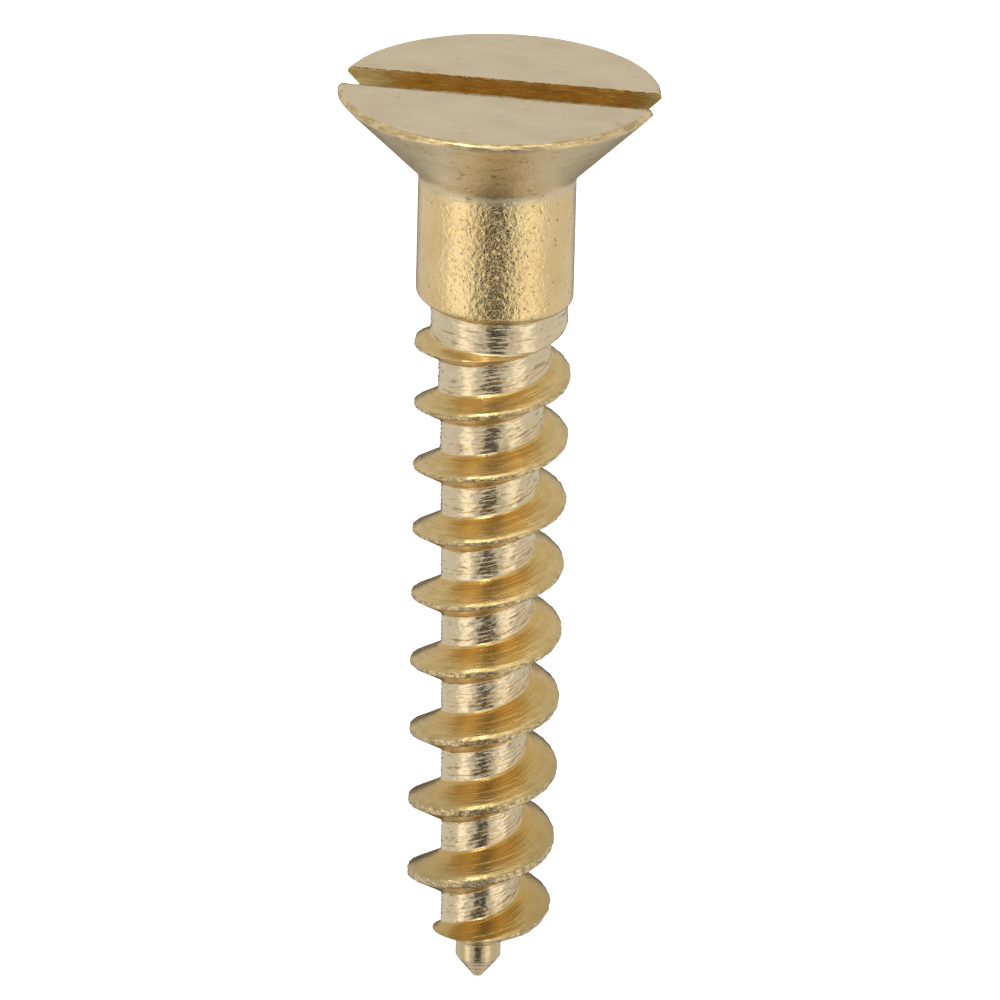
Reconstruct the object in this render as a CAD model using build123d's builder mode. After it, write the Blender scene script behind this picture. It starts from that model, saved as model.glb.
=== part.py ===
"""Slotted countersunk wood screw, No. 8 x 1 in, headed and thread-cut from one piece of brass wire.

Millimetres. The origin is the centre of the head's flat top and +Z points out of the head, so the
point of the screw is at the bottom. The driving slot runs along X and the thread is right-handed.
Places along the thread are counted in turns, downwards from where the cut starts under the shank.
"""

import os
from math import cos, exp, pi, radians, sin, tan

from build123d import *

# Overall sizes
LENGTH = 25.4
SHANK_DIAMETER = 4.13
HEAD_DIAMETER = 8.42
HEAD_ANGLE = 90.0  # full angle of the countersunk cone
RIM_LAND = 0.14  # height of the head's edge between the flat top and the cone
RIM_ROUND = 0.1
UNDERHEAD_ROUND = 0.5  # hollow radius where the cone runs into the shank
PLAIN_SHANK_END = 5.9  # from the head's flat top down to where the thread starts

# Driving slot
SLOT_WIDTH = 1.3
SLOT_DEPTH = 1.1

# Thread: one flat-bottomed groove cut into the blank, which leaves the ridge standing
PITCH_AT_TOP = 1.645
PITCH_GROWTH = 0.0565  # per turn
THREAD_START_ANGLE = 80.0  # anticlockwise from the end of the slot on +X, seen from above
THREAD_DEPTH_AT_TOP = 0.635  # both depths are measured in from the surface of the shank
THREAD_DEPTH_AT_END = 1.043
CREST_WIDTH_AT_TOP = 0.06
CREST_TAPER = 0.12  # how much nearer the axis the last full crest is than the shank's surface
FLANK_ANGLE = 30.0  # of each side of the groove, from square to the axis
DWELL_TURNS = 0.7  # over which the cut stays at one height while it goes into the metal
RUN_OUT_TURNS = 0.714  # turns in which the floor's height over its full depth shrinks e times
DEEPENING_TURNS = 0.8  # over which the floor drops to the stub of the point
OVERRUN_TURNS = 0.25  # how far the cut goes on past the stub
CUTTER_CLEARANCE = 0.03  # how far the groove's mouth stands outside the blank
SECTIONS_PER_TURN = 16

# Point
END_CONE_HEIGHT = 0.7
END_CONE_ANGLE = 28.0  # half angle of the chamfer below the last full crest
POINT_STUB_RADIUS = 0.61
POINT_STUB_HEIGHT = 0.36
POINT_CONE_HEIGHT = 0.62
POINT_TIP_RADIUS = 0.12


def spread(rise):
    """How much wider one side of the groove gets over a rise this far out from the axis."""
    return rise * tan(radians(FLANK_ANGLE))


shank_radius = SHANK_DIAMETER / 2
head_radius = HEAD_DIAMETER / 2
cone_bottom = -RIM_LAND - (head_radius - shank_radius) / tan(radians(HEAD_ANGLE / 2))
crest_end_radius = shank_radius - CREST_TAPER
end_cone_radius = crest_end_radius - END_CONE_HEIGHT * tan(radians(END_CONE_ANGLE))
cone_top = POINT_CONE_HEIGHT - LENGTH
stub_top = cone_top + POINT_STUB_HEIGHT
end_cone_bottom = stub_top + spread(end_cone_radius - POINT_STUB_RADIUS)
last_full_crest = end_cone_bottom + END_CONE_HEIGHT
floor_width = PITCH_AT_TOP - CREST_WIDTH_AT_TOP - 2 * spread(THREAD_DEPTH_AT_TOP)
first_height = -PLAIN_SHANK_END - floor_width / 2


def groove_height(turn):
    """Z of the middle of the groove's floor."""
    fed = max(0.0, turn - DWELL_TURNS)
    return first_height - PITCH_AT_TOP * fed - PITCH_GROWTH / 2 * fed**2


def turn_at(height):
    """The turn on which the middle of the groove's floor reaches this height."""
    drop = first_height - height
    return DWELL_TURNS + ((PITCH_AT_TOP**2 + 2 * PITCH_GROWTH * drop) ** 0.5 - PITCH_AT_TOP) / PITCH_GROWTH


point_turn = turn_at(stub_top - floor_width / 2)
deepening_turn = point_turn - DEEPENING_TURNS


def smooth_step(share):
    """Rises from 0 to 1 with a level start and a level end."""
    share = min(1.0, max(0.0, share))
    return share * share * (3 - 2 * share)


def floor_radius(turn):
    """Comes in from the shank's surface, tapers along the thread and drops to the point's stub."""
    along = min(1.0, turn / deepening_turn)
    depth = THREAD_DEPTH_AT_TOP + (THREAD_DEPTH_AT_END - THREAD_DEPTH_AT_TOP) * along
    climb = (THREAD_DEPTH_AT_TOP + CUTTER_CLEARANCE) * exp(-turn / RUN_OUT_TURNS)
    last_drop = shank_radius - THREAD_DEPTH_AT_END - POINT_STUB_RADIUS - CUTTER_CLEARANCE
    return shank_radius - depth + climb - last_drop * smooth_step((turn - deepening_turn) / DEEPENING_TURNS)


def blank_radius(height):
    """Radius of the uncut blank from the shank down to the end cone."""
    if height > last_full_crest:
        along = (height - first_height) / (last_full_crest - first_height)
        return shank_radius - CREST_TAPER * max(0.0, along)
    return crest_end_radius - (last_full_crest - height) * tan(radians(END_CONE_ANGLE))


def groove_section(turn):
    """The groove's outline in the half plane through the screw's axis at this turn."""
    angle = radians(THREAD_START_ANGLE) - 2 * pi * turn
    middle = groove_height(turn)
    floor = floor_radius(turn)
    mouth = CUTTER_CLEARANCE + max(floor, blank_radius(middle + PITCH_AT_TOP / 2))
    half_mouth = floor_width / 2 + spread(mouth - floor)
    half_plane = Plane((0, 0, 0), x_dir=(cos(angle), sin(angle), 0), z_dir=(sin(angle), -cos(angle), 0))
    with BuildSketch(half_plane) as section:
        with BuildLine():
            Polyline(
                (floor, middle - floor_width / 2),
                (mouth, middle - half_mouth),
                (mouth, middle + half_mouth),
                (floor, middle + floor_width / 2),
                close=True,
            )
        make_face()
    return section.sketch


def groove_sections(first, last):
    """Evenly spaced sections of the groove from one turn to another."""
    steps = max(4, round((last - first) * SECTIONS_PER_TURN))
    return [groove_section(first + (last - first) * step / steps) for step in range(steps + 1)]


# The blank: head, shank, the plain cylinder the thread is cut in, and the point
with BuildPart() as blank:
    with BuildSketch(Plane.XZ) as profile:
        with BuildLine():
            Polyline(
                (0, 0),
                (head_radius, 0),
                (head_radius, -RIM_LAND),
                (shank_radius, cone_bottom),
                (shank_radius, first_height),
                (crest_end_radius, last_full_crest),
                (end_cone_radius, end_cone_bottom),
                (POINT_STUB_RADIUS, stub_top),
                (POINT_STUB_RADIUS, cone_top),
                (POINT_TIP_RADIUS, -LENGTH),
                (0, -LENGTH),
                close=True,
            )
        make_face()
        fillet(profile.vertices().sort_by_distance((head_radius, 0))[0], RIM_ROUND)
        fillet(profile.vertices().sort_by_distance((shank_radius, cone_bottom))[0], UNDERHEAD_ROUND)
    revolve(axis=Axis.Z)

# The cut stays at one height until it is nearly at full depth
with BuildPart() as run_out:
    loft(groove_sections(0.0, DWELL_TURNS))

# From there it winds down to the point
with BuildPart() as thread_groove:
    loft(groove_sections(DWELL_TURNS, point_turn + OVERRUN_TURNS))

with BuildPart() as wood_screw:
    add(blank.part)
    add(thread_groove.part, mode=Mode.SUBTRACT)
    add(run_out.part, mode=Mode.SUBTRACT)
    Box(
        2 * HEAD_DIAMETER,
        SLOT_WIDTH,
        2 * SLOT_DEPTH,
        mode=Mode.SUBTRACT,
    )

wood_screw.part.label = "wood_screw"
os.makedirs("parts", exist_ok=True)
export_step(wood_screw.part, "parts/wood_screw.step")
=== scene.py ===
"""The look of a brass slotted countersunk wood screw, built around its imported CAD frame.

The screw is one closed mesh. It is put together from patches that share their border points: one
long strip that follows the thread, the plain shank above it, the point below it, and the slotted
head. The patches are made in millimetres, and the finished mesh is scaled to metres.

Places along the thread are counted in turns, downwards from where the cut starts under the shank.
"""

from math import asin, cos, pi, radians, sin, tan

import bmesh
import bpy
import numpy as np
from mathutils import Matrix, Vector


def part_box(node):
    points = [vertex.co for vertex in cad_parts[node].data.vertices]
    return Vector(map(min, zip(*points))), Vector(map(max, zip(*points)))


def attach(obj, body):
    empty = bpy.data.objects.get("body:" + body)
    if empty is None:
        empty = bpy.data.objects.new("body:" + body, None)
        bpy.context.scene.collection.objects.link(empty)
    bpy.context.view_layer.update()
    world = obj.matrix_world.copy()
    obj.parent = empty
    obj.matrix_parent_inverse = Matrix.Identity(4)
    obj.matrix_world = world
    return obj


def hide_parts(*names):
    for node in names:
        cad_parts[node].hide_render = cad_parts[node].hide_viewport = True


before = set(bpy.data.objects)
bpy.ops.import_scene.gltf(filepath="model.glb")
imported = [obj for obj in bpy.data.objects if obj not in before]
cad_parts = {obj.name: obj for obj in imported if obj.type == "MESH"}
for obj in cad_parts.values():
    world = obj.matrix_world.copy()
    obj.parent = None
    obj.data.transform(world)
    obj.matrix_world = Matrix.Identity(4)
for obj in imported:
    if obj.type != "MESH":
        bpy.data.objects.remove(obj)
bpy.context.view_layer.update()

MM = 0.001
low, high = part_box("wood_screw")

# Sizes of the screw, in millimetres
LENGTH = -low.z / MM
HEAD_RADIUS = high.y / MM
HEAD_HALF_ANGLE = 45.0  # of the countersunk cone, from the axis
SHANK_RADIUS = 2.065
RIM_LAND = 0.14  # height of the head's edge between the flat top and the cone
RIM_ROUND = 0.13
UNDERHEAD_ROUND = 0.5  # hollow radius where the cone runs into the shank
SHANK_END = 5.9  # from the head's flat top down to where the thread starts
SLOT_WIDTH = 1.3
SLOT_DEPTH = 1.1

# Thread: one flat-bottomed groove cut into the blank, which leaves the ridge standing
PITCH_AT_TOP = 1.645
PITCH_GROWTH = 0.0565  # per turn
THREAD_START_ANGLE = 80.0  # anticlockwise from the end of the slot on +X, seen from above
DEPTH_AT_TOP = 0.635  # both depths are measured in from the surface of the shank
DEPTH_AT_END = 1.043
CREST_WIDTH_AT_TOP = 0.06
CREST_TAPER = 0.12  # how much nearer the axis the last full crest is than the shank's surface
FLANK_ANGLE = 30.0  # of each side of the groove, from square to the axis
DWELL_TURNS = 0.7  # over which the cut stays at one height while it goes into the metal
RUN_OUT_TURNS = 0.714  # turns in which the floor's height over its full depth shrinks e times
DEEPENING_TURNS = 0.62  # over which the floor drops to the stub of the point
CUTTER_CLEARANCE = 0.03
UNCUT_RADIUS = 9.0  # stands for no cut at all, well outside the blank

# Point
END_CONE_HEIGHT = 0.83
END_CONE_ANGLE = 28.0  # half angle of the chamfer below the last full crest
SHOULDER_ANGLE = 15.0  # of the underside of the last ridge, from square to the axis
STUB_RADIUS = 0.61
STUB_HEIGHT = 0.5
TIP_CONE_HEIGHT = 0.62
TIP_RADIUS = 0.12

# Softened edges
SHANK_CORNER = 0.22  # how softly the shank rolls over into the first groove
CORNER_FADE = 0.3  # height below the shank's end over which that softness goes
CREST_EDGE = 0.03
FLOOR_CORNER = 0.05

# Fineness of the mesh
COLUMNS = 192  # around the screw, and so per turn of the thread
MOUTH_COLUMNS = 6  # on each side of the middle of a slot mouth
CREST_ROWS, FLANK_ROWS, FLOOR_ROWS = 2, 6, 21
SHANK_ROWS = 40
SHANK_CROWDING = 0.75  # below 1 crowds the shank's rows towards its lower end
ARC_ROWS = 6  # on each rounded edge of the head
CONE_ROWS = 21
TOP_ROWS = 16
LIP_ROWS = 3  # rows of the slot's walls that the burred edge takes up
ROW_GAP = 0.003  # least distance between two rows
WELD_DISTANCE = 0.0005

# Zones of the surface, which differ in their finish
ZONES = ("head_top", "cone", "shank", "groove_floor", "flank", "crest", "slot", "point", "rim")
HEAD_TOP, CONE, SHANK, FLOOR, FLANK, CREST, SLOT, POINT, RIM = range(len(ZONES))


def spread(rise):
    """How much wider one side of the groove gets over a rise this far out from the axis."""
    return rise * tan(radians(FLANK_ANGLE))


cone_bottom = -RIM_LAND - (HEAD_RADIUS - SHANK_RADIUS) / tan(radians(HEAD_HALF_ANGLE))
crest_end_radius = SHANK_RADIUS - CREST_TAPER
end_cone_radius = crest_end_radius - END_CONE_HEIGHT * tan(radians(END_CONE_ANGLE))
cone_top = TIP_CONE_HEIGHT - LENGTH
stub_top = cone_top + STUB_HEIGHT
end_cone_bottom = stub_top + (end_cone_radius - STUB_RADIUS) * tan(radians(SHOULDER_ANGLE))
last_full_crest = end_cone_bottom + END_CONE_HEIGHT
floor_width = PITCH_AT_TOP - CREST_WIDTH_AT_TOP - 2 * spread(DEPTH_AT_TOP)
first_height = -SHANK_END - floor_width / 2
cutter_radius = SHANK_RADIUS + CUTTER_CLEARANCE


def smooth_step(share):
    """Rises from 0 to 1 with a level start and a level end."""
    share = np.clip(share, 0, 1)
    return share * share * (3 - 2 * share)


def soft_min(a, b, softness):
    """The smaller of two numbers, blended over where they are closer together than softness."""
    return np.minimum(a, b) - np.maximum(softness - np.abs(a - b), 0) ** 2 / (4 * softness)


def turn_at(height):
    """The turn on which the middle of the groove's floor reaches this height."""
    drop = first_height - height
    return DWELL_TURNS + ((PITCH_AT_TOP**2 + 2 * PITCH_GROWTH * drop) ** 0.5 - PITCH_AT_TOP) / PITCH_GROWTH


point_turn = turn_at(stub_top - floor_width / 2)
deepening_turn = point_turn - DEEPENING_TURNS


def groove_height(turn):
    """Z of the middle of the groove's floor. The cut stays at one height at both of its ends."""
    fed = np.clip(turn, DWELL_TURNS, point_turn) - DWELL_TURNS
    return first_height - PITCH_AT_TOP * fed - PITCH_GROWTH / 2 * fed**2


def floor_radius(turn):
    """Comes in from the shank's surface, tapers along the thread and drops to the point's stub."""
    along = np.clip(turn / deepening_turn, 0, 1)
    depth = DEPTH_AT_TOP + (DEPTH_AT_END - DEPTH_AT_TOP) * along
    climb = (DEPTH_AT_TOP + CUTTER_CLEARANCE) * np.exp(-np.maximum(turn, 0) / RUN_OUT_TURNS)
    last_drop = SHANK_RADIUS - DEPTH_AT_END - STUB_RADIUS
    return SHANK_RADIUS - depth + climb - last_drop * smooth_step((turn - deepening_turn) / DEEPENING_TURNS)


def blank_radius(z):
    """Radius of the uncut blank below the head."""
    corners = [
        (-LENGTH, TIP_RADIUS),
        (cone_top, STUB_RADIUS),
        (stub_top, STUB_RADIUS),
        (end_cone_bottom, end_cone_radius),
        (last_full_crest, crest_end_radius),
        (first_height, SHANK_RADIUS),
        (0, SHANK_RADIUS),
    ]
    return np.interp(z, *zip(*corners))


def groove_radius(turn, z):
    """How far out one turn of the groove leaves the metal standing at height z."""
    beyond_floor = np.abs(z - groove_height(turn)) - floor_width / 2
    floor = floor_radius(turn)
    flank = floor + beyond_floor / tan(radians(FLANK_ANGLE))
    half_column = 0.5 / COLUMNS
    return np.where(turn < -half_column, UNCUT_RADIUS, -soft_min(-flank, -floor, FLOOR_CORNER))


def surface_radius(turn, z):
    """Radius of the screw at height z on the column that this turn of the groove passes through."""
    cut = np.minimum(groove_radius(turn - 1, z), groove_radius(turn, z))
    cut = np.minimum(cut, groove_radius(turn + 1, z))
    softness = np.interp(z, [-SHANK_END - CORNER_FADE, -SHANK_END], [CREST_EDGE, SHANK_CORNER])
    return soft_min(cut, blank_radius(z), softness)


def ridge_height(turn):
    """Z of the top of the ridge between this turn of the groove and the one before it."""
    upper, lower = turn - 1, turn
    upper_floor = np.where(upper < 0, cutter_radius, floor_radius(upper))
    upper_corner = groove_height(upper) - floor_width / 2
    lower_corner = groove_height(lower) + floor_width / 2
    rise = spread(upper_floor - floor_radius(lower))
    between = (upper_corner + lower_corner + rise) / 2
    beside = lower_corner + rise
    return np.where((upper < 0) | (between > upper_corner), beside, between)


# ---- The mesh is gathered as points and faces, and the patches are welded where they meet

points, faces, zones, attributes = [], [], [], []


def add_points(x, y, z, across, along):
    """Adds an array of points and returns their numbers in an array of the same shape."""
    first = sum(len(patch) for patch in points)
    shape = np.broadcast(x, y, z).shape
    points.append(np.stack([np.broadcast_to(v, shape).ravel() for v in (x, y, z)], 1))
    attributes.append(np.stack([np.broadcast_to(v, shape).ravel() for v in (across, along)], 1))
    return np.arange(first, first + points[-1].shape[0]).reshape(shape)


def add_round_points(radius, angle, z, across, along):
    """Adds an array of points that is given around the axis."""
    return add_points(radius * np.cos(angle), radius * np.sin(angle), z, across, along)


def add_grid(ids, zone):
    """Quads over a 2-D array of point numbers; zone is one number, or one per row of quads."""
    quads = np.stack([ids[:-1, :-1], ids[1:, :-1], ids[1:, 1:], ids[:-1, 1:]], -1)
    faces.extend(quads.reshape(-1, 4).tolist())
    zones.extend(np.broadcast_to(zone, quads.shape[:2]).ravel().tolist())


def zip_chains(left, right, left_z, right_z, zone):
    """Triangles between two chains of points that both run downwards."""
    i = j = 0
    while i < len(left) - 1 or j < len(right) - 1:
        if j == len(right) - 1 or (i < len(left) - 1 and left_z[i + 1] >= right_z[j + 1]):
            faces.append([left[i], left[i + 1], right[j]])
            i += 1
        else:
            faces.append([left[i], right[j + 1], right[j]])
            j += 1
        zones.append(zone)


def column_angle(column):
    """Columns are counted clockwise from +X, seen from above."""
    return -2 * pi * column / COLUMNS


def turn_of(column):
    """The groove's turn on a column; columns are counted on, past a whole turn."""
    return (radians(THREAD_START_ANGLE) - column_angle(column)) / (2 * pi)


# ---- Thread strip, from the ridge above the groove's first turn to the ridge below its last

ALONG_RADIUS = 1.5  # at which lengths along the groove are measured, for its material

strip_zones = [CREST] * CREST_ROWS + [FLANK] * FLANK_ROWS + [FLOOR] * FLOOR_ROWS
strip_zones += [FLANK] * FLANK_ROWS + [CREST] * CREST_ROWS
start_column = -round(THREAD_START_ANGLE / 360 * COLUMNS)
strip_columns = np.arange(start_column, start_column + round(point_turn * COLUMNS) + 1)
strip_turns = turn_of(strip_columns)


def strip_rows(turn):
    """Heights of the rows across one turn of the groove, from the ridge above to the ridge below."""
    top, bottom = ridge_height(turn), ridge_height(turn + 1)
    middle, floor = groove_height(turn), floor_radius(turn)
    rise_above = np.maximum(0.0, blank_radius(top) - floor)
    rise_below = np.maximum(0.0, blank_radius(bottom) - floor)
    half = floor_width / 2
    marks = [top, middle + half + spread(rise_above), middle + half]
    marks += [middle - half, middle - half - spread(rise_below), bottom]
    counts = [CREST_ROWS, FLANK_ROWS, FLOOR_ROWS, FLANK_ROWS, CREST_ROWS]
    rows = [marks[0]]
    for upper, lower, count in zip(marks, marks[1:], counts):
        rows += [upper + (lower - upper) * n / count for n in range(1, count + 1)]
    rows = np.stack(rows, 1)
    number = np.arange(rows.shape[1])
    rows = np.maximum(rows, bottom[:, None] + ROW_GAP * (number[-1] - number))
    return np.minimum(rows, top[:, None] - ROW_GAP * number)


def lumps(x, y, seed):
    """Smooth random heights from -1 to 1, with knots one apart at whole numbers of x and y."""
    table = np.random.default_rng(seed).uniform(-1, 1, (64, 512))
    column, row = np.floor(x).astype(int), np.floor(y).astype(int)
    u, v = smooth_step(x - column), smooth_step(y - row)
    total = 0.0
    for a, b in ((0, 0), (0, 1), (1, 0), (1, 1)):
        weight = (u if a else 1 - u) * (v if b else 1 - v)
        total = total + weight * table[(column + a) % table.shape[0], (row + b) % table.shape[1]]
    return total


# Relief left by the thread cutter. Each size is in rows across the groove and millimetres along it.
LINE_ROWS = 3  # rows from one turning line to the next
LINE_DEPTH = 0.017
LINE_DRIFT, DRIFT_SIZE = 1.2, (9, 1.3)  # how far the lines wander, in radians of their wave
MEAN_STRENGTH, STRENGTH_SPREAD, STRENGTH_SIZE = 0.65, 0.6, (2.3, 0.9)
CHATTER_DEPTH, CHATTER_SIZE = 0.010, (1.7, 0.4)
FINE_CHATTER_SHARE, FINE_CHATTER_SIZE = 0.5, (1.1, 0.2)
FLANK_WAVE_DEPTH, FLANK_WAVE_SIZE = 0.008, (2.0, 1.4)


def turning_lines(turn):
    """Relief that the thread cutter leaves on each row of the strip, strongest on the floor."""
    row = np.arange(len(strip_zones) + 1)[None, :]
    first = CREST_ROWS + FLANK_ROWS
    on_floor = ((row > first) & (row < first + FLOOR_ROWS)) * 1.0
    on_flank = ((row > CREST_ROWS) & (row < len(strip_zones) - CREST_ROWS)) * (1 - on_floor)
    length = turn * 2 * pi * SHANK_RADIUS

    def patches(size, seed):
        return lumps(row / size[0], length / size[1], seed)

    line = np.cos(2 * pi * row / LINE_ROWS + LINE_DRIFT * patches(DRIFT_SIZE, 5))
    strength = MEAN_STRENGTH + STRENGTH_SPREAD * patches(STRENGTH_SIZE, 6)
    chatter = patches(CHATTER_SIZE, 7) + FINE_CHATTER_SHARE * patches(FINE_CHATTER_SIZE, 8)
    floor_relief = LINE_DEPTH * line * strength + CHATTER_DEPTH * chatter
    return on_floor * floor_relief + on_flank * FLANK_WAVE_DEPTH * patches(FLANK_WAVE_SIZE, 9)


strip_z = strip_rows(strip_turns)


def add_strip():
    """Adds the strip, with a row of points across the groove on each column."""
    turns = strip_turns[:, None]
    radius = surface_radius(turns, strip_z) + turning_lines(turns)
    across = strip_z - groove_height(turns)
    along = turns * 2 * pi * ALONG_RADIUS
    strip = add_round_points(radius, column_angle(strip_columns)[:, None], strip_z, across, along)
    add_grid(strip, np.array(strip_zones)[None, :])
    return strip


# ---- The head's outline, whose first ring is where the shank starts


def head_profile():
    """Radii and heights up the head's outside, from the shank to the flat top."""
    bend = UNDERHEAD_ROUND * tan(radians(HEAD_HALF_ANGLE / 2))
    marks = []
    for n in range(ARC_ROWS + 1):
        turn = radians(HEAD_HALF_ANGLE * n / ARC_ROWS)
        x = SHANK_RADIUS + UNDERHEAD_ROUND * (1 - cos(turn))
        marks.append((x, cone_bottom - bend + UNDERHEAD_ROUND * sin(turn)))
    low_r, low_z = marks[-1]
    for n in range(1, CONE_ROWS + 1):
        share = n / CONE_ROWS
        marks.append((low_r + (HEAD_RADIUS - low_r) * share, low_z + (-RIM_LAND - low_z) * share))
    for n in range(ARC_ROWS + 1):
        turn = pi / 2 * n / ARC_ROWS
        x = HEAD_RADIUS - RIM_ROUND * (1 - cos(turn))
        marks.append((x, -RIM_ROUND * (1 - sin(turn))))
    return np.array(marks)


profile = head_profile()
ring_z = profile[0, 1]

# The row nearest to the slot's floor is moved onto it
slot_row = int(np.argmin(np.abs(profile[:, 1] + SLOT_DEPTH)))
slot_end_radius = HEAD_RADIUS - (SLOT_DEPTH - RIM_LAND) * tan(radians(HEAD_HALF_ANGLE))
profile[slot_row] = (slot_end_radius, -SLOT_DEPTH)


# ---- Shank and point, above and below the strip


def add_shank(strip):
    """Adds the shank, from the ring under the head down to the strip's first turn."""
    share = np.linspace(0, 1, SHANK_ROWS + 1)[None, :] ** SHANK_CROWDING
    z = ring_z + (strip_z[:COLUMNS, :1] - ring_z) * share
    radius = surface_radius(strip_turns[:COLUMNS, None], z)
    radius[:, 0] = SHANK_RADIUS
    shank = add_round_points(radius, column_angle(strip_columns[:COLUMNS])[:, None], z, z, 0.0)
    add_grid(shank, SHANK)
    right = np.concatenate([shank[0], strip[0, 1:]])
    right_z = np.concatenate([z[0], strip_z[0, 1:]])
    zip_chains(shank[-1], right, z[-1], right_z, SHANK)


# Heights on the point that rows are set on, with the number of rows on the way down to each
STUB_EDGE, CONE_EDGE, TIP_EDGE = 0.02, 0.03, 0.06
POINT_MARKS = (
    (stub_top + STUB_EDGE, 12),
    (stub_top - STUB_EDGE, 2),
    (cone_top + STUB_EDGE, 4),
    (cone_top - CONE_EDGE, 2),
    (TIP_EDGE - LENGTH, 5),
    (-LENGTH, 2),
)


def add_point(strip):
    """Adds the point, from the strip's last turn down to the tip."""
    ridge = strip_z[-COLUMNS:, -1]
    rows = [ridge]
    previous = ridge
    for mark, count in POINT_MARKS:
        mark = np.minimum(mark, ridge - ROW_GAP * len(rows))
        rows += [previous + (mark - previous) * n / count for n in range(1, count + 1)]
        previous = mark
    z = np.stack(rows, 1)
    z = np.minimum(z, ridge[:, None] - ROW_GAP * np.arange(z.shape[1]))
    radius = surface_radius(strip_turns[-COLUMNS:, None] + 1, z)
    point = add_round_points(radius, column_angle(strip_columns[-COLUMNS:])[:, None], z, z, 0.0)
    add_grid(point, POINT)
    left = np.concatenate([strip[-1], point[-1, 1:]])
    left_z = np.concatenate([strip_z[-1], z[-1, 1:]])
    zip_chains(left, point[0], left_z, z[0], POINT)
    tip = add_points(0.0, 0.0, np.array([-LENGTH]), 0.0, 0.0)[0]
    for n in range(COLUMNS):
        faces.append([point[n, -1], tip, point[(n + 1) % COLUMNS, -1]])
        zones.append(POINT)


# ---- Head, whose columns bend to run along the edges of the slot

half_turn = COLUMNS // 2
lands = (
    slice(MOUTH_COLUMNS, half_turn - MOUTH_COLUMNS + 1),
    slice(half_turn + MOUTH_COLUMNS, COLUMNS - MOUTH_COLUMNS + 1),
)


def mouth_angle(row):
    """Half the angle that the slot's mouth takes up on a row of the head."""
    if row >= slot_row:
        return asin(SLOT_WIDTH / 2 / profile[row, 0])
    share = row / slot_row
    at_floor = asin(SLOT_WIDTH / 2 / profile[slot_row, 0])
    return at_floor * share + 2 * pi * MOUTH_COLUMNS / COLUMNS * (1 - share)


def head_angles(row):
    """Angles of all the columns on a row, with four of them on the edges of the slot."""
    edge = mouth_angle(row)
    knots, values = [], []
    for middle, angle in ((0, 0), (half_turn, pi), (COLUMNS, 2 * pi)):
        knots += [middle - MOUTH_COLUMNS, middle, middle + MOUTH_COLUMNS]
        values += [angle - edge, angle, angle + edge]
    return -np.interp(np.arange(COLUMNS), knots, values)


head_angle = np.stack([head_angles(row) for row in range(len(profile))], 1)
head_x = profile[None, :, 0] * np.cos(head_angle)
head_y = profile[None, :, 0] * np.sin(head_angle)
head_z = np.broadcast_to(profile[None, :, 1], head_angle.shape)


def add_head_outside():
    """Adds the cone in whole rings up to the slot's floor, and the two lands above it."""
    head = add_points(head_x, head_y, head_z, head_z, 0.0)
    closed = np.concatenate([head, head[:1]])
    add_grid(closed[:, : slot_row + 1][:, ::-1], CONE)
    rim_rows = ARC_ROWS + 1
    land_zones = [RIM] * rim_rows + [CONE] * (len(profile) - 1 - slot_row - rim_rows)
    for land in lands:
        add_grid(closed[land, slot_row:][:, ::-1], np.array(land_zones)[None, :])


# Places of the flat top's rows between the rim and the slot, as shares of the way
top_share = np.concatenate([[0, 0.012], np.linspace(0.03, 0.97, TOP_ROWS - 3), [0.988, 1]])[None, :]


def add_half_top(side, land):
    """Adds a wall of the slot and the half of the flat top beside it, and returns x along its foot."""
    columns = np.arange(COLUMNS + 1)[land] % COLUMNS
    wall_x, wall_z = head_x[columns, slot_row:], profile[None, slot_row:, 1]
    wall_y = side * SLOT_WIDTH / 2
    wall = add_points(wall_x, wall_y, wall_z, wall_z, wall_x)
    plain_rows = wall.shape[1] - 1 - LIP_ROWS
    add_grid(wall, np.array([SLOT] * plain_rows + [CREST] * LIP_ROWS)[None, :])
    rim_x, rim_y = head_x[columns, -1:], head_y[columns, -1:]
    top_y = rim_y + (wall_y - rim_y) * top_share
    top = add_points(rim_x, top_y, 0.0 * top_share, top_y, rim_x)
    add_grid(top[:, ::-1], np.array([CREST] + [HEAD_TOP] * (TOP_ROWS - 1))[None, :])
    return wall_x[:, 0]


def add_slot_floor(foot_x):
    """Adds the slot's floor, whose ends follow the cone."""
    mouth = mouth_angle(slot_row) * np.arange(-MOUTH_COLUMNS, MOUTH_COLUMNS + 1) / MOUTH_COLUMNS
    x = foot_x[:, None] / foot_x[0] * slot_end_radius * np.cos(mouth)[None, :]
    y = slot_end_radius * np.sin(mouth)[None, :]
    add_grid(add_points(x, y, -SLOT_DEPTH, y, x), SLOT)


strip = add_strip()
add_shank(strip)
add_point(strip)
add_head_outside()
feet = [add_half_top(side, land) for side, land in zip((-1, 1), lands)]
add_slot_floor(feet[0])


# ---- Brass, finished in a different way on each zone

PIT_RADIUS = 0.35  # as a share of the distance between pits
PIT_PATCH = 0.45  # how fine the patches with pits are, against the pits
PIT_FADE = 0.02


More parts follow.
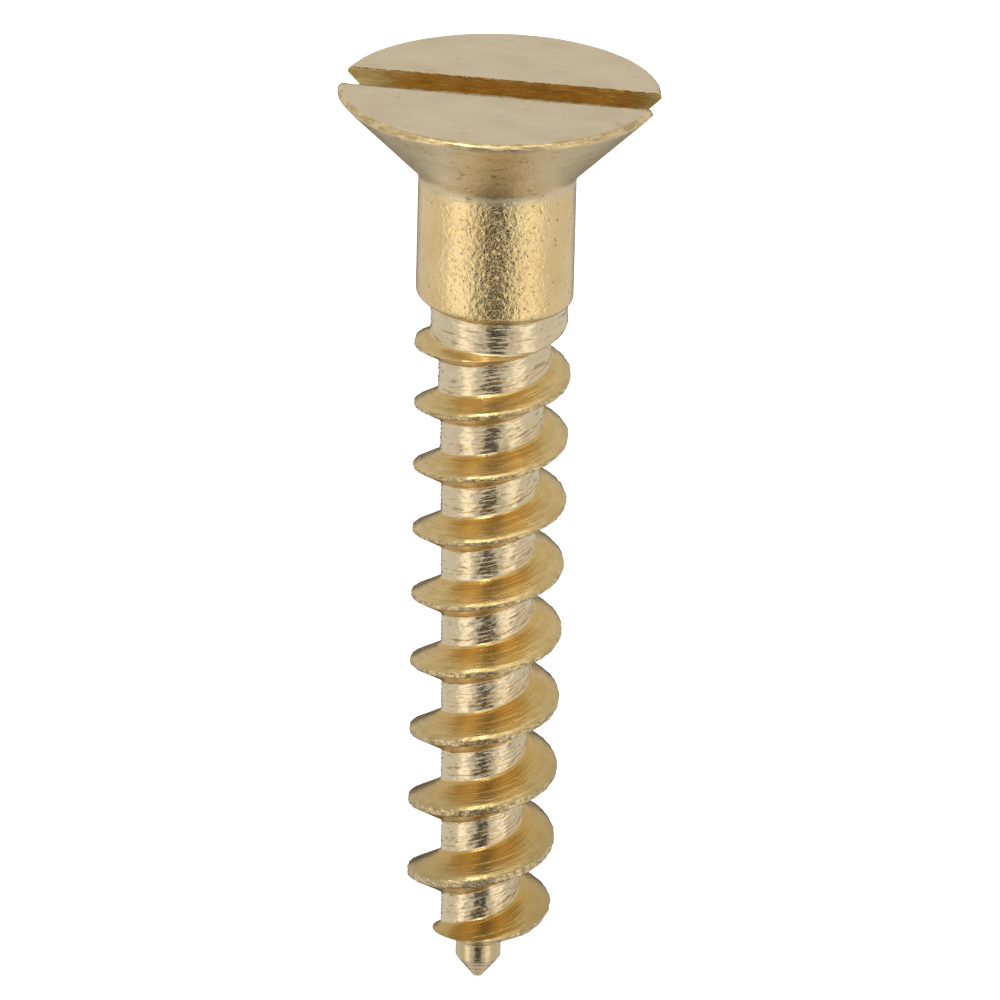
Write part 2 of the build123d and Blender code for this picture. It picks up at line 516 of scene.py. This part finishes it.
class Nodes:
    """A short way to add nodes to one material."""

    def __init__(self, name):
        self.material = bpy.data.materials.new(name)
        self.material.use_nodes = True
        self.tree = self.material.node_tree
        self.shader = self.tree.nodes["Principled BSDF"]

    def plug(self, socket, value):
        """Links another node's output to an input, or sets the input to a fixed value."""
        if isinstance(value, bpy.types.NodeSocket):
            self.tree.links.new(value, socket)
        else:
            socket.default_value = value

    def add(self, kind, inputs, **settings):
        """Adds a node with these settings, and plugs its inputs in by name or number."""
        node = self.tree.nodes.new("ShaderNode" + kind)
        for key, value in settings.items():
            setattr(node, key, value)
        for key, value in inputs.items():
            self.plug(node.inputs[key], value)
        return node

    def math(self, operation, a, b):
        return self.add("Math", {0: a, 1: b}, operation=operation).outputs[0]

    def times(self, value, factor):
        return self.math("MULTIPLY", value, factor)

    def millimetres(self, scale):
        """The place on the screw in millimetres, times a scale along each axis."""
        place = self.add("TexCoord", {}).outputs["Object"]
        wanted = [factor / MM for factor in scale]
        return self.add("VectorMath", {0: place, 1: wanted}, operation="MULTIPLY").outputs[0]

    def along_thread(self, across_scale, along_scale):
        """A place across and along the groove, in millimetres times the two scales."""
        across = self.add("Attribute", {}, attribute_name="across").outputs["Fac"]
        along = self.add("Attribute", {}, attribute_name="along").outputs["Fac"]
        x, y = self.times(across, across_scale), self.times(along, along_scale)
        return self.add("CombineXYZ", {0: x, 1: y, 2: 0.0}).outputs[0]

    def noise(self, vector, detail=2.0, roughness=0.5):
        inputs = {"Vector": vector, "Scale": 1.0, "Detail": detail, "Roughness": roughness}
        return self.add("TexNoise", inputs).outputs[0]

    def grain(self, scale, detail=2.0, roughness=0.5):
        """Noise in space, with about this many lumps to the millimetre along each axis."""
        return self.noise(self.millimetres(scale), detail, roughness)

    def ramp(self, value, low, high):
        """Takes a value between two limits to a share from 0 to 1."""
        inputs = {"Value": value, "From Min": low, "From Max": high}
        return self.add("MapRange", inputs, clamp=True).outputs[0]

    def mix(self, share, a, b):
        """A colour between a, at share 0, and b, at share 1."""
        node = self.add("Mix", {}, data_type="RGBA")
        for number, value in ((0, share), (6, a), (7, b)):
            self.plug(node.inputs[number], value)
        return node.outputs[2]

    def rough(self, value, span, least):
        """Roughness that starts at least, plus a span of the value."""
        return self.math("ADD", self.times(value, span), least)

    def pits(self, size, share, depth):
        """Small round dents: size apart in millimetres, in a share of the places, and so deep."""
        cells = self.add("TexVoronoi", {"Vector": self.millimetres((1 / size,) * 3), "Scale": 1.0})
        dent = self.ramp(cells.outputs["Distance"], 0.0, PIT_RADIUS)
        spot = self.ramp(self.grain((PIT_PATCH / size,) * 3), 1 - share, 1 - share + PIT_FADE)
        filled = self.math("SUBTRACT", 1.0, dent)
        return self.times(self.times(filled, spot), -depth)

    def finish(self, color, roughness, heights):
        """Sets the metal's colour and roughness, and a relief that adds up heights in millimetres."""
        self.plug(self.shader.inputs["Base Color"], color)
        self.plug(self.shader.inputs["Roughness"], roughness)
        self.plug(self.shader.inputs["Metallic"], 1.0)
        total = heights[0]
        for height in heights[1:]:
            total = self.math("ADD", total, height)
        bump = self.add("Bump", {"Height": total, "Distance": MM, "Strength": 1.0})
        self.plug(self.shader.inputs["Normal"], bump.outputs[0])
        return self.material


def tone(red, green, blue):
    return (red, green, blue, 1.0)


def head_top_material():
    """Flat and greyed by handling, with smudges, fine scratches, slight waves and pits."""
    nodes = Nodes("head_top")
    bright, dull, smudged = tone(0.81, 0.665, 0.445), tone(0.71, 0.565, 0.345), tone(0.52, 0.41, 0.25)
    stain = nodes.ramp(nodes.grain((0.45, 0.8, 0.5), 5.0, 0.6), 0.38, 0.66)
    scratches = nodes.grain((7, 24, 9), 3.0)
    smudge = nodes.ramp(nodes.grain((1.1, 1.9, 1), 5.0, 0.7), 0.6, 0.72)
    color = nodes.mix(smudge, nodes.mix(stain, bright, dull), smudged)
    waves = nodes.grain((1.4, 1.4, 1.4), 3.0)
    heights = [nodes.times(scratches, 0.005), nodes.times(waves, 0.025), nodes.pits(0.2, 0.36, 0.012)]
    return nodes.finish(color, nodes.rough(scratches, 0.16, 0.25), heights)


def cone_material():
    """Turned, with faint level lines, grain, specks of dirt and pits."""
    nodes = Nodes("cone")
    bright, dull, dirty = tone(0.90, 0.74, 0.47), tone(0.76, 0.60, 0.34), tone(0.42, 0.32, 0.17)
    stain = nodes.ramp(nodes.grain((0.9, 0.9, 1.6), 3.0), 0.3, 0.7)
    grain = nodes.grain((9, 9, 9), 3.0, 0.6)
    dirt = nodes.ramp(nodes.grain((3.2, 3.2, 4.2), 4.0, 0.7), 0.58, 0.70)
    color = nodes.mix(dirt, nodes.mix(stain, bright, dull), dirty)
    lines = nodes.grain((1.2, 1.2, 14), 3.0)
    heights = [nodes.times(lines, 0.01), nodes.times(grain, 0.016), nodes.pits(0.16, 0.42, 0.016)]
    return nodes.finish(color, nodes.rough(grain, 0.2, 0.27), heights)


def shank_material():
    """Bright and hammered by the wire's grain, with painted shade in the hollows of its relief."""
    nodes = Nodes("shank")
    bright, dull, painted_hollow_shade = tone(0.93, 0.71, 0.37), tone(0.86, 0.63, 0.30), tone(0.50, 0.36, 0.17)
    stain = nodes.ramp(nodes.grain((1.2, 1.2, 1.2), 3.0), 0.3, 0.7)
    grain = nodes.grain((7.2, 7.2, 6.6), 3.0, 0.6)
    # painted shade: where the grain's relief is lowest, the colour goes over to a darker tone
    color = nodes.mix(nodes.ramp(grain, 0.36, 0.30), nodes.mix(stain, bright, dull), painted_hollow_shade)
    heights = [nodes.times(grain, 0.036), nodes.pits(0.14, 0.5, 0.016)]
    return nodes.finish(color, nodes.rough(grain, 0.16, 0.13), heights)


def turned_material(name, lines_per_mm, depth, bright, dull):
    """Fine lines left by the thread cutter, which run along the groove, with painted shade in the hollows
    between them.
    """
    nodes = Nodes(name)
    painted_hollow_shade = tone(0.50, 0.40, 0.24)
    lines = nodes.noise(nodes.along_thread(lines_per_mm, 1.6), 2.0, 0.6)
    grain = nodes.grain((7, 7, 7), 2.0)
    clean = nodes.mix(nodes.ramp(grain, 0.3, 0.7), bright, dull)
    # painted shade: the lowest parts of the lines' relief get a darker tone
    color = nodes.mix(nodes.ramp(lines, 0.40, 0.33), clean, painted_hollow_shade)
    heights = [nodes.times(lines, depth), nodes.times(grain, 0.007)]
    return nodes.finish(color, nodes.rough(grain, 0.15, 0.17), heights)


def flank_material():
    """Rings and streaks, with painted shade that darkens them towards the point and a painted golden
    reflection near the core.
    """
    nodes = Nodes("flank")
    bright, dull = tone(0.82, 0.62, 0.29), tone(0.64, 0.455, 0.18)
    # painted light: a shaded tone for the flanks near the point, and a reflected gold for the groove's
    # depths
    point_shade_tone, reflected_gold_tone = tone(0.40, 0.29, 0.12), tone(0.78, 0.48, 0.12)
    place = nodes.millimetres((1, 1, 0))
    out = nodes.add("VectorMath", {0: place}, operation="LENGTH").outputs["Value"]
    level = nodes.add("SeparateXYZ", {0: place})
    inputs = {0: nodes.times(out, 15.0)}
    inputs[1] = nodes.times(level.outputs[0], 0.8)
    inputs[2] = nodes.times(level.outputs[1], 0.8)
    rings = nodes.noise(nodes.add("CombineXYZ", inputs).outputs[0], 2.0, 0.6)
    streaks = nodes.grain((3, 3, 3), 4.0, 0.6)
    mottle = nodes.math("ADD", nodes.times(streaks, 0.5), nodes.times(rings, 0.5))
    clean = nodes.mix(nodes.ramp(mottle, 0.38, 0.6), bright, dull)
    height = nodes.add("SeparateXYZ", {0: nodes.millimetres((1, 1, 1))}).outputs[2]
    # painted shade: the flanks get darker towards the point
    painted_point_shade = nodes.times(nodes.ramp(height, -15.0, -25.0), 0.75)
    # painted reflection: a golden tint deep in the groove, near the core, where the flanks mirror each
    # other
    painted_core_reflection = nodes.times(nodes.ramp(out, 1.9, 1.15), 0.6)
    color = nodes.mix(painted_core_reflection, nodes.mix(painted_point_shade, clean, point_shade_tone), reflected_gold_tone)
    heights = [nodes.times(streaks, 0.012), nodes.times(rings, 0.016)]
    return nodes.finish(color, nodes.rough(streaks, 0.18, 0.2), heights)


def crest_material():
    """Torn and uneven, for the crest of the thread and the edges of the slot."""
    nodes = Nodes("crest")
    bright, dark = tone(0.84, 0.67, 0.39), tone(0.44, 0.32, 0.15)
    burr = nodes.grain((7, 7, 12), 3.0, 0.6)
    color = nodes.mix(nodes.ramp(burr, 0.38, 0.6), bright, dark)
    return nodes.finish(color, nodes.rough(burr, 0.25, 0.15), [nodes.times(burr, 0.035)])


def rim_material():
    """Burnished in patches."""
    nodes = Nodes("rim")
    dark, bright = tone(0.60, 0.44, 0.20), tone(0.88, 0.69, 0.37)
    grain = nodes.grain((2.8, 2.8, 9), 3.5, 0.6)
    color = nodes.mix(nodes.ramp(grain, 0.42, 0.58), dark, bright)
    return nodes.finish(color, nodes.rough(grain, 0.2, 0.15), [nodes.times(grain, 0.035)])


def slot_material():
    """Deep in colour, with the saw's level marks and some grime."""
    nodes = Nodes("slot")
    bright, dull, grimy = tone(0.82, 0.62, 0.26), tone(0.70, 0.50, 0.18), tone(0.56, 0.37, 0.11)
    marks = nodes.grain((1.2, 1.2, 15), 3.0)
    grime = nodes.ramp(nodes.grain((1.5, 4, 4), 4.0, 0.65), 0.45, 0.7)
    color = nodes.mix(grime, nodes.mix(nodes.ramp(marks, 0.3, 0.7), bright, dull), grimy)
    return nodes.finish(color, nodes.rough(marks, 0.2, 0.25), [nodes.times(marks, 0.02)])


def zone_materials():
    """One material for each of the zones, in their order."""
    return [
        head_top_material(),
        cone_material(),
        shank_material(),
        turned_material("groove_floor", 9.0, 0.028, tone(0.88, 0.73, 0.49), tone(0.80, 0.645, 0.40)),
        flank_material(),
        crest_material(),
        slot_material(),
        turned_material("point", 7.0, 0.03, tone(0.74, 0.60, 0.36), tone(0.66, 0.52, 0.29)),
        rim_material(),
    ]


# ---- Burrs and dents, which move a point by its place alone, so that welded points stay together

BURR_SIZE, BURR_DEPTH, BURR_REACH = 0.09, 0.022, 0.09  # reach is in from the blank's surface
WIDE_BURR_SIZE = 2.7 * BURR_SIZE
DENT_SIZE, DENT_DEPTH = 0.55, 0.004
UNDENTED_RADIUS = 0.7  # the stub and the tip have no dents
LIP_SIZE, WIDE_LIP_SIZE, LIP_DEPTH = 0.16, 0.4, 0.03
TOP_WAVE_SIZE, TOP_WAVE_DEPTH = 0.7, 0.003
NICK_SIZE, WIDE_NICK_SIZE, NICK_DEPTH = 0.22, 0.5, 0.02
NICK_REACH = 0.16  # in from the rim's largest radius
NICK_LOWEST = -0.35
ON_PLANE = 0.001  # a point this near to a plane counts as on it
NO_RADIUS = 0.01  # keeps the direction out from the axis defined at the tip


def lumps_in_space(place, size, seed):
    """Smooth random heights from -1 to 1 in space, with knots this size apart."""
    table = np.random.default_rng(seed).uniform(-1, 1, (32, 32, 32))
    cell = np.floor(place / size).astype(int)
    share = smooth_step(place / size - cell)
    total = 0.0
    for a, b, c in np.ndindex(2, 2, 2):
        pick = np.array([a, b, c])
        weight = np.prod(np.where(pick == 1, share, 1 - share), axis=1)
        corner = (cell + pick) % table.shape[0]
        total = total + weight * table[corner[:, 0], corner[:, 1], corner[:, 2]]
    return total


def worn(place):
    """The gathered points with burrs on the crest and the slot's edges, and dents all over."""
    moved = place.copy()
    r = np.hypot(place[:, 0], place[:, 1])
    z = place[:, 2]
    outwards = place[:, :2] / np.maximum(r, NO_RADIUS)[:, None]
    on_top = z > -ON_PLANE

    threaded = (z < -SHANK_END - CORNER_FADE) & (z > stub_top)
    crest = threaded * np.clip(1 - (blank_radius(z) - r) / BURR_REACH, 0, 1)
    burr = lumps_in_space(place, BURR_SIZE, 21) + 0.6 * lumps_in_space(place, WIDE_BURR_SIZE, 22)
    dent = DENT_DEPTH * lumps_in_space(place, DENT_SIZE, 23) * (r > UNDENTED_RADIUS)
    unmoved = on_top | (np.abs(z + SLOT_DEPTH) < ON_PLANE) | (z < stub_top)
    moved[:, :2] += outwards * np.where(unmoved, 0.0, crest * BURR_DEPTH * (burr - 0.3) + dent)[:, None]

    lip = (np.abs(np.abs(place[:, 1]) - SLOT_WIDTH / 2) < ON_PLANE) & (z > -LIP_DEPTH)
    torn = 0.5 + 0.5 * lumps_in_space(place, LIP_SIZE, 24) + 0.35 * lumps_in_space(place, WIDE_LIP_SIZE, 25)
    raised = lip * LIP_DEPTH * np.clip(torn, 0, 1)
    moved[:, 2] += raised
    moved[:, 1] -= np.sign(place[:, 1]) * raised
    moved[:, 2] += (on_top & ~lip) * TOP_WAVE_DEPTH * lumps_in_space(place, TOP_WAVE_SIZE, 26)

    rim = np.clip(1 - np.abs(r - HEAD_RADIUS) / NICK_REACH, 0, 1) * (z > NICK_LOWEST)
    nick = 0.6 * lumps_in_space(place, NICK_SIZE, 27) + 0.6 * lumps_in_space(place, WIDE_NICK_SIZE, 28)
    moved[:, :2] += outwards * (rim * NICK_DEPTH * (nick - 0.35))[:, None]
    return moved


# ---- Weld the patches into one closed mesh


def weld():
    """Joins the gathered patches into one mesh in metres, with its outside facing out."""
    mesh = bpy.data.meshes.new("screw")
    place = worn(np.concatenate(points))
    mesh.from_pydata((place * MM).tolist(), [], faces)
    for material in zone_materials():
        mesh.materials.append(material)
    mesh.polygons.foreach_set("material_index", zones)
    both = np.concatenate(attributes)
    for n, name in enumerate(("across", "along")):
        layer = mesh.attributes.new(name, "FLOAT", "POINT")
        layer.data.foreach_set("value", both[:, n].astype(np.float32))
    built = bmesh.new()
    built.from_mesh(mesh)
    bmesh.ops.remove_doubles(built, verts=built.verts, dist=WELD_DISTANCE * MM)
    loose = [vertex for vertex in built.verts if not vertex.link_faces]
    bmesh.ops.delete(built, geom=loose, context="VERTS")
    bmesh.ops.recalc_face_normals(built, faces=built.faces)
    for face in built.faces:
        face.smooth = True
    built.to_mesh(mesh)
    built.free()
    return mesh


screw = bpy.data.objects.new("screw", weld())
bpy.context.scene.collection.objects.link(screw)
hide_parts("wood_screw")
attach(screw, "root")


# ---- Stage, light and camera, in metres

CAMERA_AZIMUTH = 10.07  # from square to the slot
CAMERA_ELEVATION = 22.99
CAMERA_ROLL = 1.444
CAMERA_DISTANCE = 0.2702
CAMERA_FOCAL_SHARE = 10.235  # focal length over the sensor's width
CAMERA_SHIFT = (0.01153, 0.03461)
SENSOR_WIDTH = 36
AIM_HEIGHT = -12.57 * MM
FLOOR_SIZE = 4
FLOOR_GAP = 0.0001  # between the tip and the floor
FLOOR_GLOW = 0.6
WORLD_STRENGTH = 0.68
CARD_DISTANCE = 0.2


def make_camera():
    """Looks at the middle of the screw from the side of its slot, a little from above."""
    camera = bpy.data.objects.new("camera", bpy.data.cameras.new("camera"))
    bpy.context.scene.collection.objects.link(camera)
    azimuth, elevation = radians(CAMERA_AZIMUTH), radians(CAMERA_ELEVATION)
    out = Vector((sin(azimuth) * cos(elevation), -cos(azimuth) * cos(elevation), sin(elevation)))
    camera.location = out * CAMERA_DISTANCE + Vector((0, 0, AIM_HEIGHT))
    turn = out.to_track_quat("Z", "Y").to_matrix() @ Matrix.Rotation(radians(CAMERA_ROLL), 3, "Z")
    camera.rotation_euler = turn.to_euler()
    camera.data.sensor_width = SENSOR_WIDTH
    camera.data.lens = SENSOR_WIDTH * CAMERA_FOCAL_SHARE
    camera.data.clip_start = 0.01
    camera.data.clip_end = 20
    camera.data.shift_x, camera.data.shift_y = CAMERA_SHIFT
    bpy.context.scene.camera = camera


def make_plane(name, size, location):
    """A flat card, size across, that belongs to the studio and not to the screw."""
    mesh = bpy.data.meshes.new(name)
    half_x, half_y = size[0] / 2, size[1] / 2
    mesh.from_pydata(
        [(-half_x, -half_y, 0), (half_x, -half_y, 0), (half_x, half_y, 0), (-half_x, half_y, 0)],
        [],
        [(0, 1, 2, 3)],
    )
    card = bpy.data.objects.new(name, mesh)
    card.location = location
    bpy.context.scene.collection.objects.link(card)
    return card


def plain_material(name, color, roughness):
    """A material of one colour, and the shader that gives it."""
    material = bpy.data.materials.new(name)
    material.use_nodes = True
    shader = material.node_tree.nodes["Principled BSDF"]
    shader.inputs["Base Color"].default_value = (*color, 1)
    shader.inputs["Roughness"].default_value = roughness
    return material, shader


def make_floor():
    """A pale floor that glows a little, so that it comes out nearly white."""
    floor = make_plane("floor", (FLOOR_SIZE, FLOOR_SIZE), (0, 0, low.z - FLOOR_GAP))
    material, shader = plain_material("pale_floor", (0.93, 0.93, 0.93), 0.8)
    shader.inputs["Emission Color"].default_value = (1, 1, 1, 1)
    shader.inputs["Emission Strength"].default_value = FLOOR_GLOW
    floor.data.materials.append(material)
    floor.visible_glossy = False


def make_world():
    """Even white light from all sides."""
    world = bpy.data.worlds.new("studio")
    bpy.context.scene.world = world
    world.use_nodes = True
    background = world.node_tree.nodes["Background"]
    background.inputs["Color"].default_value = (1, 1, 1, 1)
    background.inputs["Strength"].default_value = WORLD_STRENGTH


def aim(thing):
    """Turns a lamp or a card to face the middle of the screw."""
    thing.rotation_euler = (Vector((0, 0, AIM_HEIGHT)) - thing.location).to_track_quat("-Z", "Y").to_euler()


def studio_place(azimuth, elevation, distance):
    """A point around the screw; azimuth 0 is the camera's side and 90 is to the camera's right."""
    turn = radians(CAMERA_AZIMUTH + azimuth)
    rise = radians(elevation)
    flat = cos(rise) * distance
    return Vector((sin(turn) * flat, -cos(turn) * flat, sin(rise) * distance + AIM_HEIGHT))


def make_lamp(name, azimuth, elevation, distance, size, power):
    """A square lamp, size across."""
    data = bpy.data.lights.new(name, "AREA")
    data.shape = "RECTANGLE"
    data.size = data.size_y = size
    data.energy = power
    lamp = bpy.data.objects.new(name, data)
    lamp.location = studio_place(azimuth, elevation, distance)
    aim(lamp)
    bpy.context.scene.collection.objects.link(lamp)


def make_card(name, azimuth, elevation, distance, size, material):
    """A card out of the camera's sight that only the metal mirrors."""
    card = make_plane(name, size, studio_place(azimuth, elevation, distance))
    aim(card)
    card.data.materials.append(material)
    card.visible_camera = False
    card.visible_diffuse = False
    card.visible_shadow = False


def make_flag(name, azimuth, elevation, distance, size, shade):
    """A dull card, which darkens what the metal mirrors."""
    material, _ = plain_material(name, (shade, shade, shade), 0.9)
    make_card(name, azimuth, elevation, distance, size, material)


def make_glow(name, azimuth, elevation, distance, size, strength):
    """A bright card, mirrored like a lit part of the table."""
    material, shader = plain_material(name, (0, 0, 0), 1)
    shader.inputs["Emission Color"].default_value = (1, 0.98, 0.95, 1)
    shader.inputs["Emission Strength"].default_value = strength
    make_card(name, azimuth, elevation, distance, size, material)


make_camera()
make_floor()
make_world()
make_flag("front_flag", 0, -26, CARD_DISTANCE, (0.115, 0.16), 0.02)
make_flag("low_flag", 0, -78, 0.12, (0.07, 0.07), 0.02)
make_flag("back_flag", 180, -25, CARD_DISTANCE, (0.15, 0.20), 0.04)
make_flag("top_flag", 180, 84, CARD_DISTANCE, (0.12, 0.12), 0.55)
make_glow("left_glow", -56, -20, CARD_DISTANCE, (0.09, 0.20), 1.3)
make_glow("right_glow", 52, -20, CARD_DISTANCE, (0.09, 0.20), 1.2)
make_lamp("top_light", 0, 75, 0.7, 0.7, 1.0)
make_lamp("key_light", -35, 50, 0.6, 0.2, 0.5)
bpy.context.scene.view_settings.view_transform = "Standard"
